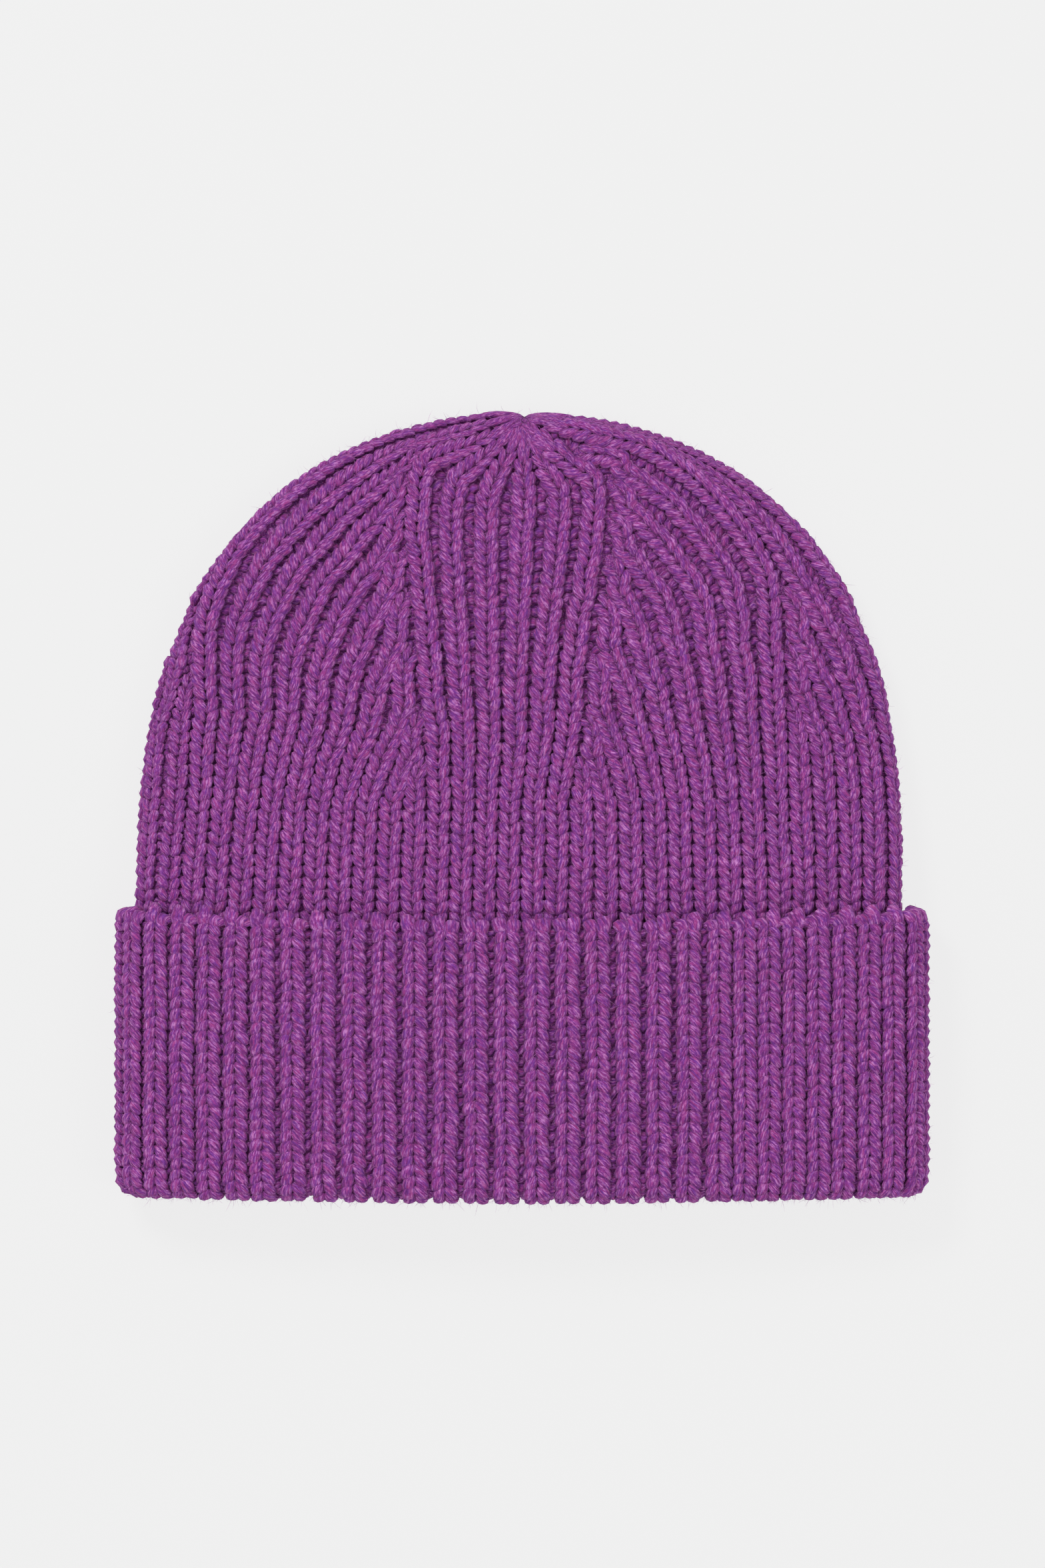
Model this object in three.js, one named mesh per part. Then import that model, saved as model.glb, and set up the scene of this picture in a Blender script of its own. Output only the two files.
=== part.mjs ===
// A chunky 1x1 rib beanie with a turned-up cuff, lying flat on its back.
// Millimetres. X runs across the beanie, +Y from the mouth to the gathered top, +Z up through the front.
// The origin is at the middle of the footprint, on the surface that the beanie lies on.
import * as THREE from "three";

// Driving dimensions
const CUFF_WIDTH = 220; // across the turned-up band, from side fold to side fold
const CUFF_HEIGHT = 75.3; // from the fold at the mouth to the free edge, at the middle
const CROWN_RISE = 138.3; // from the cuff's free edge to the top of the outline
const CROWN_INSET = 1.4; // how far each side of the crown draws in where it leaves the cuff
const KNIT_THICKNESS = 2.6; // the knitted sheet itself
const RIB_RELIEF = 1.0; // how far a rib stands out of the sheet's middle, and a valley in
const LAYER_GAP = 0.3; // between knitted layers that touch
const RIB_COUNT = 64; // ribs round the tube
const CUFF_FRONT_RIBS = 29; // of these, the ones on the front of the cuff
const MOUTH_HOLLOW = 12; // height of the hollow at the middle of the mouth
const SIDE_FOLD = 5.0; // half thickness of the tube at its side folds, at the sheet's middle
const INNER_RETURN = 8; // how far the cuff's knit runs up inside, past the fold
const GATHER_RADIUS = 5.0; // of the ring that the last stitches are drawn into
const GATHER_DEPTH = 0.5; // how far that ring's front lies below the top of the outline
const DIMPLE_DEPTH = 2.5; // how far the drawn-in middle lies below the ring's front
const CAP_INNER_DEPTH = 8; // from the ring's front down to the end of the hollow
const MOUTH_BOW = 1.4; // how far the fold at the mouth bows down at the middle
const EDGE_RISE = 2.6; // how far the cuff's free edge rises at the side folds
const CROWN_SHIFT = -1.0; // sideways offset of the crown from the cuff's middle, where it leaves the cuff
const CROWN_LEAN = 1.6; // sideways drift of the crown from there to the top
const FOLD_ASPECT = 1.1; // depth of a side fold's round, seen from the front, over its half thickness
const YARN_COLOUR = 0x963c96;

// Sizes that follow
const WALL = KNIT_THICKNESS + 2 * RIB_RELIEF;
const CUFF_STEP = WALL + LAYER_GAP; // from the middle of the crown's wall to the middle of the cuff's
const TUBE_HALF = CUFF_WIDTH / 2 - WALL / 2 - CUFF_STEP; // half width of the tube inside the cuff
const CROWN_HALF = TUBE_HALF - CROWN_INSET;
const MOUTH_SWELL = MOUTH_HOLLOW + WALL - 2 * SIDE_FOLD; // extra height of the front at the middle
const FOLD_RADIUS = CUFF_STEP / 2; // of the turn at the mouth, at the sheet's middle
const FULL_HEIGHT = CUFF_HEIGHT + CROWN_RISE;
const EDGE_Y = CUFF_HEIGHT - FULL_HEIGHT / 2; // the cuff's free edge, at the middle
const FOLD_Y = -FULL_HEIGHT / 2 + FOLD_RADIUS + WALL / 2; // centre of the turn at the mouth
const OUTLINE_RISE = CROWN_RISE - WALL / 2; // the outline's height, at the sheet's middle
const MIDDLE_PATH = OUTLINE_RISE - GATHER_DEPTH; // length of the front's middle rib above the cuff
const CROWN_START = FOLD_Y + INNER_RETURN + LAYER_GAP; // the crown's hidden lower end

// The tube's section. "at" is a share of MIDDLE_PATH above the cuff's edge, "lift" of the step that the
// back climbs onto the cuff, "fold" of SIDE_FOLD, and "swell" of MOUTH_SWELL.
const SECTIONS = [
  { at: -1.0, lift: 1.0, fold: 1.0, swell: 1.0 },
  { at: 0.03, lift: 1.0, fold: 1.0, swell: 1.0 },
  { at: 0.4, lift: 0.0, fold: 1.0, swell: 0.9 },
  { at: 0.7, lift: 0.0, fold: 0.95, swell: 0.65 },
  { at: 0.92, lift: 0.0, fold: 0.8, swell: 0.2 },
  { at: 1.0, lift: 0.0, fold: 0.6, swell: 0.0 },
];

// The four ribs of the front that the others run into. "at" is a share of MIDDLE_PATH, and the rest are
// places across the front, from -1 at the left side fold to 1 at the right one.
const SPINES = [
  { at: 0.0, a: -0.87, b: -0.217, c: 0.1, d: 0.695 },
  { at: 0.25, a: -0.855, b: -0.215, c: 0.1, d: 0.686 },
  { at: 0.38, a: -0.872, b: -0.23, c: 0.132, d: 0.702 },
  { at: 0.5, a: -0.95, b: -0.272, c: 0.153, d: 0.745 },
  { at: 0.6, a: -0.978, b: -0.326, c: 0.192, d: 0.83 },
  { at: 0.69, a: -0.985, b: -0.412, c: 0.26, d: 0.865 },
  { at: 0.775, a: -0.99, b: -0.56, c: 0.37, d: 0.9 },
  { at: 0.855, a: -0.995, b: -0.76, c: 0.535, d: 0.93 },
  { at: 1.0, a: -1.0, b: -0.62, c: 0.4, d: 0.8 },
];

// Rib numbers of the spines, left to right on the front. The back repeats them half a turn on.
const SPINE_RIBS = { a: 2, b: 12, c: 17, d: 26 };
const HALF_TURN = RIB_COUNT / 2;

// Where two ribs are knitted together, as shares of MIDDLE_PATH, and how long the merging takes.
const DECREASES = [0.29, 0.38, 0.495, 0.6, 0.68, 0.755, 0.81, 0.865];
const SIDE_DECREASES = { intoD: [0.375, 0.455, 0.535, 0.625], intoA: [0.39, 0.475, 0.555] };
const MERGE_LENGTH = 0.1;

// The fields of ribs between two spines, with the decreases that each spine takes from the field. The
// last one goes round the side fold.
const FIELDS = [
  { from: "a", to: "b", byFrom: [], byTo: DECREASES },
  { from: "b", to: "c", byFrom: [], byTo: [] },
  { from: "c", to: "d", byFrom: DECREASES, byTo: [] },
  { from: "d", to: "a", byFrom: SIDE_DECREASES.intoD, byTo: SIDE_DECREASES.intoA },
];

// Places of the cuff's front ribs. "rib" is a share of the way from its first to its last, and "across"
// the place on the front, from -1 to 1.
const CUFF_RIBS = [
  { rib: 0.0, across: -0.963 },
  { rib: 0.18, across: -0.632 },
  { rib: 0.5, across: 0.035 },
  { rib: 0.72, across: 0.492 },
  { rib: 0.86, across: 0.727 },
  { rib: 1.0, across: 0.971 },
];

// Rows of the crown's mesh above the cuff, as shares of MIDDLE_PATH. Those of the gathered part come
// just after a decrease is over.
const PLAIN_ROWS = [0.0, 0.12, 0.24];
const GATHERED_ROWS = [...DECREASES.slice(0, -1).map((at) => at + MERGE_LENGTH / 2), 1];
const ROUND_SAMPLES = 96; // points that a row's length is measured with, on each side
const OUTLINE_SAMPLES = 800;
const FOLD_STEPS = 4;
const RIB_PLATEAU = 0.2; // half width of a cuff rib's flat top, as a share of the rib's pitch

const clamp01 = (x) => Math.min(Math.max(x, 0), 1);
const smooth = (x) => clamp01(x) ** 2 * (3 - 2 * clamp01(x));
const mix = (a, b, share) => a + (b - a) * share;

// A column of a table at the place x of its key column, straight or eased between the rows.
function lookUp(table, key, column, x, ease = (share) => share) {
  let i = 0;
  while (i < table.length - 2 && table[i + 1][key] < x) i += 1;
  const low = table[i];
  const high = table[i + 1];
  const share = clamp01((x - low[key]) / (high[key] - low[key]));
  return mix(low[column], high[column], ease(share));
}

// The place of x in a rising list, as a whole part and a share.
function locate(rising, x) {
  let low = 0;
  let high = rising.length - 1;
  while (high - low > 1) {
    const middle = (low + high) >> 1;
    if (rising[middle] <= x) low = middle;
    else high = middle;
  }
  return { low, share: clamp01((x - rising[low]) / (rising[high] - rising[low])) };
}

function runningLength(points) {
  const lengths = [0];
  for (let i = 1; i < points.length; i += 1) lengths.push(lengths[i - 1] + points[i].distanceTo(points[i - 1]));
  return lengths;
}

// The right side of the crown's outline at the sheet's middle: from the cuff's edge up to the top.
const outline = Array.from({ length: OUTLINE_SAMPLES + 1 }, (_, i) => {
  const turn = (Math.PI / 2) * (i / OUTLINE_SAMPLES);
  return new THREE.Vector2(CROWN_HALF * Math.cos(turn), OUTLINE_RISE * Math.sin(turn) ** (2 / 3));
});
const outlineLength = runningLength(outline);
const SIDE_PATH = outlineLength.at(-1) - GATHER_RADIUS;

// Rows run level for a while, then their ends climb the sides faster than their middles. Below the cuff's
// edge the tube reaches its full width within a share of MIDDLE_PATH.
const LEVEL_SHARE = 0.12;
const CLIMB_POWER = 1.5;
const DRAW_IN_SHARE = 0.08;

// The right end of a row, measured from the middle of the cuff's free edge, and the way out of the sheet.
function rowEnd(at, isCuff) {
  if (at <= 0) {
    const down = clamp01((at * MIDDLE_PATH) / (FOLD_Y - EDGE_Y));
    const drawn = isCuff ? 1 : clamp01(-at / DRAW_IN_SHARE);
    const x = mix(CROWN_HALF, TUBE_HALF, drawn);
    return { x, y: at * MIDDLE_PATH + MOUTH_BOW * down, outwards: new THREE.Vector2(1, 0) };
  }
  const climb = clamp01((at - LEVEL_SHARE) / (1 - LEVEL_SHARE)) ** CLIMB_POWER;
  const { low, share } = locate(outlineLength, at * MIDDLE_PATH + (SIDE_PATH - MIDDLE_PATH) * climb);
  const { x, y } = outline[low].clone().lerp(outline[low + 1], share);
  const along = outline[low + 1].clone().sub(outline[low]).normalize();
  return { x, y, outwards: new THREE.Vector2(along.y, -along.x) };
}

// One row of the tube at the sheet's middle: its points and the directions that point out of the sheet,
// from one side fold to the other, the front from left to right and the back from right to left. Lengths
// along it are measured where the sheet is offset outwards by "reference".
function makeRow(at, { reference = 0, isCuff = false, endRise = 0 } = {}) {
  const end = rowEnd(at, isCuff);
  const middleY = at * MIDDLE_PATH;
  const fold = SIDE_FOLD * lookUp(SECTIONS, "at", "fold", at, smooth);
  const swell = MOUTH_SWELL * lookUp(SECTIONS, "at", "swell", at, smooth);
  const lift = CUFF_STEP * lookUp(SECTIONS, "at", "lift", at, smooth);
  const foldZ = WALL / 2 + lift + fold;
  const round = Math.min(fold * FOLD_ASPECT, 0.6 * end.x);
  const leaves = isCuff ? 0 : clamp01(1 + at / DRAW_IN_SHARE);
  const centreX = leaves * (CROWN_SHIFT + CROWN_LEAN * Math.max(at, 0));

  const across = Array.from({ length: ROUND_SAMPLES + 1 }, (_, i) => -Math.cos((Math.PI * i) / ROUND_SAMPLES));
  const plan = across.map(
    (t) => new THREE.Vector2(centreX + end.x * t, EDGE_Y + middleY + (end.y - middleY + endRise) * t ** 2),
  );
  const walked = runningLength(plan);
  const makeSide = (face) => {
    const points = [];
    const normals = [];
    plan.forEach((point, i) => {
      const sideways = Math.sign(across[i]) * end.outwards.x;
      const inward = Math.min(walked[i], walked.at(-1) - walked[i]);
      const cosine = 1 - Math.min(inward / round, 1);
      const sine = Math.sqrt(1 - cosine ** 2);
      const swelled = face > 0 ? swell * (1 - Math.abs(across[i]) ** 3) : 0;
      points.push(new THREE.Vector3(point.x, point.y, foldZ + face * fold * sine + swelled));
      normals.push(new THREE.Vector3(sideways * cosine, end.outwards.y * cosine, face * sine));
    });
    if (face < 0) {
      points.reverse();
      normals.reverse();
    }
    const lengths = runningLength(points.map((point, i) => point.clone().addScaledVector(normals[i], reference)));
    return { points, normals, lengths };
  };
  return { across, front: makeSide(1), back: makeSide(-1) };
}

// A point of the sheet, offset outwards from its middle. "round" counts the way round a row: 0 to 1 over
// the front, and 1 to 2 over the back.
function pointOnRow(row, round, offset) {
  const turn = ((round % 2) + 2) % 2;
  const { points, normals, lengths } = turn < 1 ? row.front : row.back;
  const { low, share } = locate(lengths, (turn % 1) * lengths.at(-1));
  const normal = normals[low].clone().lerp(normals[low + 1], share).normalize();
  return points[low].clone().lerp(points[low + 1], share).addScaledVector(normal, offset);
}

function roundOfAcross(row, across, isBack) {
  const { lengths } = isBack ? row.back : row.front;
  const { low, share } = locate(row.across, across);
  return (isBack ? 1 : 0) + mix(lengths[low], lengths[low + 1], share) / lengths.at(-1);
}

const mergedBy = (decreases, at) =>
  decreases.reduce((sum, start) => sum + clamp01((at - start) / MERGE_LENGTH + 0.5), 0);
const mergedWhole = (decreases, at) => Math.floor(mergedBy(decreases, at) + 1e-6);

// A rib that is about to merge keeps its distance, then closes up quickly.
const closeUp = (distance) => (distance < 1 ? 1 - (1 - Math.max(distance, 0)) ** 3 : distance);

// The ribs of one field at one row, with their places between its two spines.
function ribsOfField(field, count, at) {
  const byFrom = mergedBy(field.byFrom, at);
  const byTo = mergedBy(field.byTo, at);
  const gaps = count + 1 - byFrom - byTo;
  const firstLive = 1 + mergedWhole(field.byFrom, at);
  const lastLive = count - mergedWhole(field.byTo, at);
  const ribs = [];
  for (let j = firstLive; j <= lastLive; j += 1) {
    const left = closeUp(j - byFrom);
    const right = closeUp(count + 1 - byTo - j);
    ribs.push({ j, share: left < 1 ? left / gaps : 1 - right / gaps });
  }
  return ribs;
}

// Every rib that is still there at a row: its number, and its place round the row.
function ribsAt(at) {
  const row = makeRow(at);
  const place = (name, isBack) => roundOfAcross(row, lookUp(SPINES, "at", name, clamp01(at)), isBack);
  const ribs = [];
  for (const isBack of [false, true]) {
    for (const field of FIELDS) {
      const wraps = field.from === "d";
      const start = place(field.from, isBack);
      const end = wraps ? place("a", !isBack) + (isBack ? 2 : 0) : place(field.to, isBack);
      const firstRib = SPINE_RIBS[field.from] + (isBack ? HALF_TURN : 0);
      const count = SPINE_RIBS[field.to] + (wraps ? HALF_TURN : 0) - SPINE_RIBS[field.from] - 1;
      ribs.push({ number: firstRib, place: start });
      for (const { j, share } of ribsOfField(field, count, at)) {
        ribs.push({ number: firstRib + j, place: mix(start, end, share) });
      }
    }
  }
  return ribs;
}

// The columns of a crown row: the top of each rib, and the valley after it. A column's key is the rib's
// number, plus a half for a valley.
function crownColumns(at) {
  const ribs = ribsAt(at);
  return ribs.flatMap((rib, i) => {
    const next = ribs[(i + 1) % ribs.length];
    const nextPlace = next.place + (i + 1 === ribs.length ? 2 : 0);
    const nextNumber = next.number + (i + 1 === ribs.length ? RIB_COUNT : 0);
    return [
      { key: rib.number, place: rib.place, wave: 1 },
      { key: (rib.number + nextNumber) / 2, place: mix(rib.place, nextPlace, 0.5), wave: -1 },
    ];
  });
}

// Which column of the next row each column of this row runs into.
function columnLinks(columns, nextColumns) {
  return columns.map(({ key, wave }) => {
    let best = 0;
    nextColumns.forEach((column, i) => {
      const same = column.wave === wave ? 0 : 0.26;
      const nearest = nextColumns[best];
      const bestSame = nearest.wave === wave ? 0 : 0.26;
      if (Math.abs(column.key - key) + same < Math.abs(nearest.key - key) + bestSame) best = i;
    });
    return best;
  });
}

class Skin {
  constructor() {
    this.positions = [];
    this.triangles = [];
  }

  add(point) {
    this.positions.push(point.x, point.y, point.z);
    return this.positions.length / 3 - 1;
  }

  // Joins two rings, each a list of vertex numbers. links gives the vertex of the second ring that each
  // vertex of the first runs into.
  join(ring, nextRing, links, isOutside) {
    ring.forEach((a, i) => {
      const j = (i + 1) % ring.length;
      const b = ring[j];
      const steps = (links[j] - links[i] + nextRing.length) % nextRing.length;
      const face = (p, q, r) => this.triangles.push(...(isOutside ? [p, q, r] : [p, r, q]));
      if (steps === 0) face(a, b, nextRing[links[i]]);
      else face(a, b, nextRing[links[j]]);
      for (let step = 0; step < steps; step += 1) {
        const c = nextRing[(links[i] + step) % nextRing.length];
        const d = nextRing[(links[i] + step + 1) % nextRing.length];
        face(a, d, c);
      }
    });
  }

  cap(ring, point, isOutside) {
    const centre = this.add(point);
    this.join(ring, [centre], ring.map(() => 0), isOutside);
  }

  mesh(name, colour) {
    const geometry = new THREE.BufferGeometry();
    geometry.setAttribute("position", new THREE.Float32BufferAttribute(this.positions, 3));
    geometry.setIndex(this.triangles);
    geometry.computeVertexNormals();
    const material = new THREE.MeshStandardMaterial({ color: colour, roughness: 0.95, metalness: 0 });
    const made = new THREE.Mesh(geometry, material);
    made.name = name;
    return made;
  }
}

// The crown: an outside and an inside skin over the same ribs, joined at the hidden lower end.
function makeCrown() {
  const skin = new Skin();
  const startAt = (CROWN_START - EDGE_Y) / MIDDLE_PATH;
  const rows = [startAt, startAt / 2, ...PLAIN_ROWS, ...GATHERED_ROWS];
  const columns = rows.map(crownColumns);
  const relief = (at) => RIB_RELIEF * mix(1, 0.6, smooth((at - 0.8) / 0.2));

  const ringsOf = (face, lastRow) =>
    rows.slice(0, lastRow).map((at, i) => {
      const row = makeRow(at);
      return columns[i].map(({ place, wave }) => {
        const offset = (face * KNIT_THICKNESS) / 2 + wave * relief(at);
        return skin.add(pointOnRow(row, place, offset));
      });
    });
  const outside = ringsOf(1, rows.length);
  const inside = ringsOf(-1, rows.length - 1);
  for (let i = 0; i < outside.length - 1; i += 1) {
    skin.join(outside[i], outside[i + 1], columnLinks(columns[i], columns[i + 1]), true);
  }
  for (let i = 0; i < inside.length - 1; i += 1) {
    skin.join(inside[i], inside[i + 1], columnLinks(columns[i], columns[i + 1]), false);
  }
  skin.join(inside[0], outside[0], outside[0].map((_, i) => i), true);

  const ends = makeRow(1).front.points;
  const centre = ends[0].clone().lerp(ends.at(-1), 0.5);
  const ringFront = EDGE_Y + MIDDLE_PATH;
  skin.cap(outside.at(-1), new THREE.Vector3(centre.x, ringFront - DIMPLE_DEPTH, centre.z), true);
  skin.cap(inside.at(-1), new THREE.Vector3(centre.x, ringFront - CAP_INNER_DEPTH, centre.z), false);
  return skin.mesh("crown", YARN_COLOUR);
}

// The cuff's ribs: those of the front follow their table, and the rest share the back evenly.
function cuffRibPlaces() {
  const row = makeRow(0, { reference: CUFF_STEP, isCuff: true });
  const outerHalf = CUFF_WIDTH / 2;
  const frontPlaces = Array.from({ length: CUFF_FRONT_RIBS }, (_, i) => {
    const x = outerHalf * lookUp(CUFF_RIBS, "rib", "across", i / (CUFF_FRONT_RIBS - 1));
    let low = 0;
    let high = 1;
    while (high - low > 1e-6) {
      const middle = (low + high) / 2;
      if (pointOnRow(row, middle, CUFF_STEP + WALL / 2).x < x) low = middle;
      else high = middle;
    }
    return low;
  });
  const backCount = RIB_COUNT - CUFF_FRONT_RIBS;
  const last = frontPlaces.at(-1);
  const step = (frontPlaces[0] + 2 - last) / (backCount + 1);
  return [...frontPlaces, ...Array.from({ length: backCount }, (_, i) => last + step * (i + 1))];
}

// Stations along the cuff's sheet: from the free edge down the outside, round the fold at the mouth and
// up inside. "turn" is how far round the fold a station lies.
function cuffSection() {
  const stations = [
    { y: EDGE_Y, turn: 0, endRise: EDGE_RISE },
    { y: mix(EDGE_Y, FOLD_Y, 0.5), turn: 0 },
  ];
  for (let i = 0; i <= FOLD_STEPS; i += 1) stations.push({ y: FOLD_Y, turn: (Math.PI * i) / FOLD_STEPS });
  stations.push({ y: FOLD_Y + INNER_RETURN, turn: Math.PI });
  return stations;
}

function makeCuff() {
  const skin = new Skin();
  const places = cuffRibPlaces();
  const columns = places.flatMap((place, i) => {
    const next = i + 1 < places.length ? places[i + 1] : places[0] + 2;
    const previous = i > 0 ? places[i - 1] : places.at(-1) - 2;
    return [
      { place: mix(place, previous, RIB_PLATEAU), wave: 1 },
      { place: mix(place, next, RIB_PLATEAU), wave: 1 },
      { place: mix(place, next, 0.5), wave: -1 },
    ];
  });

  const ringOf = ({ y, turn, endRise }, face) => {
    const [top, valley] = [1, -1].map((wave) => {
      const radius = FOLD_RADIUS + wave * RIB_RELIEF + (face * KNIT_THICKNESS) / 2;
      const at = (y - radius * Math.sin(turn) - EDGE_Y) / MIDDLE_PATH;
      const row = makeRow(at, { reference: CUFF_STEP, isCuff: true, endRise });
      return { row, offset: FOLD_RADIUS + radius * Math.cos(turn) };
    });
    return columns.map(({ place, wave }) => {
      const { row, offset } = wave > 0 ? top : valley;
      return skin.add(pointOnRow(row, place, offset));
    });
  };
  const straight = columns.map((_, i) => i);
  const section = cuffSection();
  const outside = section.map((station) => ringOf(station, 1));
  const inside = section.map((station) => ringOf(station, -1));
  for (let i = 0; i < section.length - 1; i += 1) {
    skin.join(outside[i + 1], outside[i], straight, true);
    skin.join(inside[i + 1], inside[i], straight, false);
  }
  skin.join(outside[0], inside[0], straight, true);
  skin.join(inside.at(-1), outside.at(-1), straight, true);
  return skin.mesh("cuff", YARN_COLOUR);
}

const beanie = new THREE.Group();
beanie.add(makeCrown(), makeCuff());

// The origin goes to the middle of the footprint, at the height of the lowest ribs.
const bounds = new THREE.Box3().setFromObject(beanie);
const middle = bounds.getCenter(new THREE.Vector3());
beanie.position.set(-middle.x, -middle.y, -bounds.min.z);

export default beanie;
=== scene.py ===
"""A chunky purple rib-knit beanie with a turned-up cuff, lying flat and seen from straight above.

Every stitch is its own pair of yarn legs, laid on the same tube that the CAD model is made from. The
tube is worked out in millimetres, with +Y towards the gathered top and +Z up through the front.
"""
import math

import bpy
import numpy as np
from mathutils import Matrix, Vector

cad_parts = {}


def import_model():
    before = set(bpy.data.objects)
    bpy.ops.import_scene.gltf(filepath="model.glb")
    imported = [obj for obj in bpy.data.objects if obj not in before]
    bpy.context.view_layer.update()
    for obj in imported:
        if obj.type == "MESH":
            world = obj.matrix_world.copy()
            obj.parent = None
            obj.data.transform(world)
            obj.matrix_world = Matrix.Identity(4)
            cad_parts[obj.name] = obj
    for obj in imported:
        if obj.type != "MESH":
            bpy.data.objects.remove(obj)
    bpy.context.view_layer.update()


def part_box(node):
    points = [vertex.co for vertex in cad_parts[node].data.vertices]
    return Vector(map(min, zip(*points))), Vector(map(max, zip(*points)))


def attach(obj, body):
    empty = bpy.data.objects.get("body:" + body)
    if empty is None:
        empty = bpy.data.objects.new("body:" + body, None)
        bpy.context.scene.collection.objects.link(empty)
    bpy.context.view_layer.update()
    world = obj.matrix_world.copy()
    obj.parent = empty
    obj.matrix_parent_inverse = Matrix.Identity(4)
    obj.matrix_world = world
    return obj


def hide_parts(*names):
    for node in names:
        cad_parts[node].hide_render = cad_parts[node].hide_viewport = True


MM = 0.001

# Driving dimensions of the tube, as in the CAD model but for the gather, which is tighter here
CUFF_WIDTH = 220
CUFF_HEIGHT = 75.3
CROWN_RISE = 138.3
CROWN_INSET = 1.4
KNIT_THICKNESS = 2.6
RIB_RELIEF = 1.0
LAYER_GAP = 0.3
RIB_COUNT = 64
CUFF_FRONT_RIBS = 29
MOUTH_HOLLOW = 12
SIDE_FOLD = 5.0
GATHER_RADIUS = 1.0
GATHER_DEPTH = 0.9
MOUTH_BOW = 1.4
EDGE_RISE = 2.6
CROWN_SHIFT = -1.0
CROWN_LEAN = 1.6
FOLD_ASPECT = 1.1

# Sizes that follow
WALL = KNIT_THICKNESS + 2 * RIB_RELIEF
CUFF_STEP = WALL + LAYER_GAP
TUBE_HALF = CUFF_WIDTH / 2 - WALL / 2 - CUFF_STEP
CROWN_HALF = TUBE_HALF - CROWN_INSET
MOUTH_SWELL = MOUTH_HOLLOW + WALL - 2 * SIDE_FOLD
FOLD_RADIUS = CUFF_STEP / 2
FULL_HEIGHT = CUFF_HEIGHT + CROWN_RISE
EDGE_Y = CUFF_HEIGHT - FULL_HEIGHT / 2
FOLD_Y = -FULL_HEIGHT / 2 + FOLD_RADIUS + WALL / 2
OUTLINE_RISE = CROWN_RISE - WALL / 2
MIDDLE_PATH = OUTLINE_RISE - GATHER_DEPTH
LEVEL_SHARE = 0.12
CLIMB_POWER = 1.5
DRAW_IN_SHARE = 0.08
OUTLINE_POWER = 2 / 3
ROW_POINTS = 97
DEEPEST_FOLD = 0.6  # of half the row
CROWN_START, CROWN_LAST = -0.09, 0.995  # where the crown's ribs start and end, as "at" in SECTIONS

# The tube's section, as in the CAD model
SECTIONS = {
    "at": [-1.0, 0.03, 0.4, 0.7, 0.92, 1.0],
    "lift": [1.0, 1.0, 0.0, 0.0, 0.0, 0.0],
    "fold": [1.0, 1.0, 1.0, 0.95, 0.8, 0.6],
    "swell": [1.0, 1.0, 0.9, 0.65, 0.2, 0.0],
}

# The four ribs of the front that the others run into, and where each other rib does. They are as in the
# CAD model, but round each side fold two more ribs run on to the top
SPINES = {
    "at": [0.0, 0.25, 0.38, 0.5, 0.6, 0.69, 0.775, 0.855, 1.0],
    "a": [-0.87, -0.855, -0.872, -0.95, -0.978, -0.985, -0.99, -0.995, -1.0],
    "b": [-0.217, -0.215, -0.23, -0.272, -0.326, -0.412, -0.56, -0.76, -0.62],
    "c": [0.1, 0.1, 0.132, 0.153, 0.192, 0.26, 0.37, 0.535, 0.4],
    "d": [0.695, 0.686, 0.702, 0.745, 0.83, 0.865, 0.9, 0.93, 0.8],
}
SPINE_RIBS = {"a": 2, "b": 12, "c": 17, "d": 26}
HALF_TURN = RIB_COUNT // 2
DECREASES = [0.29, 0.38, 0.495, 0.6, 0.68, 0.755, 0.81, 0.865]
SIDE_DECREASES = {"into_d": [0.375, 0.455, 0.535], "into_a": [0.39, 0.475]}
MERGE_LENGTH = 0.1
FIELDS = [
    {"from": "a", "to": "b", "by_from": [], "by_to": DECREASES},
    {"from": "b", "to": "c", "by_from": [], "by_to": []},
    {"from": "c", "to": "d", "by_from": DECREASES, "by_to": []},
    {"from": "d", "to": "a", "by_from": SIDE_DECREASES["into_d"], "by_to": SIDE_DECREASES["into_a"]},
]
CUFF_RIBS = {
    "rib": [0.0, 0.18, 0.5, 0.72, 0.86, 1.0],
    "across": [-0.963, -0.632, 0.035, 0.492, 0.727, 0.971],
}

# The knit
CROWN_ROW = 3.05  # height of a stitch on the crown
CUFF_ROW = 2.87
RIB_WIDTH = 5.9  # over both legs of a stitch
LEG_LEVEL = 1.2  # height over the sheet's middle at which stitches are spaced
INNER_REACH = 50  # how far up inside the mouth the stitches go
MERGED = 0.5  # a rib is over where its distance to a spine is this share shorter than to the next rib
MERGE_SINK = 1.4  # how deep a rib sinks where it meets a spine
SPINE_RISE = 0.35
SHORTEST_TRACK = 6  # a rib with no more places than this is left out


def eased(share):
    share = np.clip(share, 0, 1)
    return share * share * (3 - 2 * share)


def look_up(table, key, column, x, ease=None):
    """A column of a table at the place x of its key column."""
    keys = np.array(table[key])
    values = np.array(table[column])
    i = np.clip(np.searchsorted(keys, x) - 1, 0, len(keys) - 2)
    share = np.clip((x - keys[i]) / (keys[i + 1] - keys[i]), 0, 1)
    if ease:
        share = ease(share)
    return values[i] + (values[i + 1] - values[i]) * share


def running_length(points):
    steps = np.linalg.norm(np.diff(points, axis=0), axis=1)
    return np.concatenate([[0], np.cumsum(steps)])


def unit(vectors):
    return vectors / np.maximum(np.linalg.norm(vectors, axis=-1, keepdims=True), 1e-9)


# The tube

outline_turn = np.linspace(0, math.pi / 2, 801)
outline = np.stack(
    [CROWN_HALF * np.cos(outline_turn), OUTLINE_RISE * np.sin(outline_turn) ** OUTLINE_POWER], 1
)
outline_length = running_length(outline)
SIDE_PATH = outline_length[-1] - GATHER_RADIUS


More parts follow.
